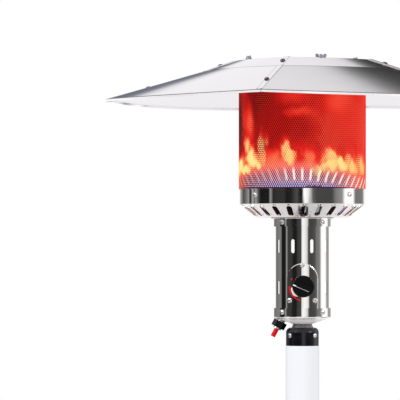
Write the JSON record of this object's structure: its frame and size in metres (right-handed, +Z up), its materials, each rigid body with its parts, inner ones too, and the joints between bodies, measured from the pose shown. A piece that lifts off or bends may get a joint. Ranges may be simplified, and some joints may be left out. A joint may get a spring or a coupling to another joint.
{
  "type": "propane patio heater",
  "caption": "Free-standing gas patio heater with a tank housing that lifts, a post, a burner with an emitter screen and a round reflector.",
  "frame": {"origin": "the floor point under the post's axis, at the centre of the base", "axes": "+Z up along the post, -Y towards the control knob (the front), +X to the right seen from the front"},
  "size_m": [0.762, 0.762, 2.2145],
  "materials": {
    "gloss_black": "gloss",
    "satin_black": "satin",
    "dark_steel": "satin",
    "white_enamel": "satin",
    "chrome": "mirror",
    "stainless": "brushed",
    "emitter_steel": "perforated, heat tinted",
    "reflector_aluminium": "brushed",
    "zinc": "satin",
    "black_zinc": "satin",
    "brass": "satin",
    "copper": "satin",
    "ceramic": "matte",
    "rubber": "matte",
    "black_plastic": "gloss",
    "handle_plastic": "satin",
    "wheel_plastic": "satin",
    "switch_plastic": "matte",
    "red_plastic": "gloss",
    "red_print": "gloss"
  },
  "bodies": {
    "heater_frame": {"base_pan": "gloss_black", "vent_ring": "satin_black", "leg_left": "dark_steel", "leg_right": "dark_steel", "leg_back": "dark_steel", "leg_bolts": "zinc", "foot_plate": "dark_steel", "lower_post": "gloss_black", "joint_sleeve": "zinc", "upper_post": "gloss_black", "white_sleeve": "white_enamel", "post_cap": "gloss_black", "post_screws": "black_zinc", "neck_tube": "zinc", "gas_hose": "rubber", "gas_inlet": "brass", "bottom_dish": "chrome", "control_housing": "chrome", "top_collar": "chrome", "head_screws": "chrome", "control_panel": "chrome", "heat_scale": "red_print", "gas_valve": "brass", "gas_jet": "brass", "tilt_switch": "switch_plastic", "igniter_barrel": "zinc", "igniter_nut": "black_plastic", "burner_pan": "chrome", "pan_screws": "zinc", "burner_band": "chrome", "venturi_tube": "stainless", "burner_head": "stainless", "pilot_bracket": "stainless", "pilot_tube": "copper", "thermocouple": "copper", "spark_electrode": "ceramic", "emitter_screen": "emitter_steel", "emitter_top": "stainless", "reflector_front_right": "reflector_aluminium", "reflector_back_right": "reflector_aluminium", "reflector_back_left": "reflector_aluminium", "reflector_front_left": "reflector_aluminium", "hub_plate": "reflector_aluminium", "reflector_screws": "zinc", "reflector_studs": "zinc", "wing_nuts": "zinc", "wheel_bracket": "dark_steel", "wheel_axle": "zinc"},
    "tank_housing": {"housing_shell": "satin_black", "housing_lid": "gloss_black", "lid_screws": "zinc", "lid_collar": "gloss_black", "handle_left": "handle_plastic", "handle_right": "handle_plastic", "lid_catch": "zinc"},
    "valve_push": {"push_washer": "zinc"},
    "knob": {"control_knob": "black_plastic"},
    "igniter_plunger": {"igniter_button": "red_plastic"},
    "left_wheel": {"wheel_left": "wheel_plastic"},
    "right_wheel": {"wheel_right": "wheel_plastic"}
  },
  "joints": [
    {"name": "housing_lift", "type": "slide", "parent": "heater_frame", "child": "tank_housing", "axis": [0, 0, 1], "range_m": [0, 0.46]},
    {"name": "knob_press", "type": "slide", "parent": "heater_frame", "child": "valve_push", "axis": [0, 1, 0], "range_m": [0, 0.004], "stiffness_N_per_m": 900, "springref_m": -0.004},
    {"name": "knob_turn", "type": "hinge", "parent": "valve_push", "child": "knob", "pos_m": [0.002, -0.06, 1.7705], "axis": [0, -1, 0], "range_deg": [-67, 98]},
    {"name": "igniter_press", "type": "slide", "parent": "heater_frame", "child": "igniter_plunger", "axis": [0.4695, 0, 0.8829], "range_m": [0, 0.006], "stiffness_N_per_m": 700, "springref_m": -0.004},
    {"name": "left_wheel_spin", "type": "hinge", "parent": "heater_frame", "child": "left_wheel", "pos_m": [-0.062, 0.236, 0.063], "axis": [1, 0, 0], "continuous": true},
    {"name": "right_wheel_spin", "type": "hinge", "parent": "heater_frame", "child": "right_wheel", "pos_m": [0.062, 0.236, 0.063], "axis": [1, 0, 0], "continuous": true}
  ]
}
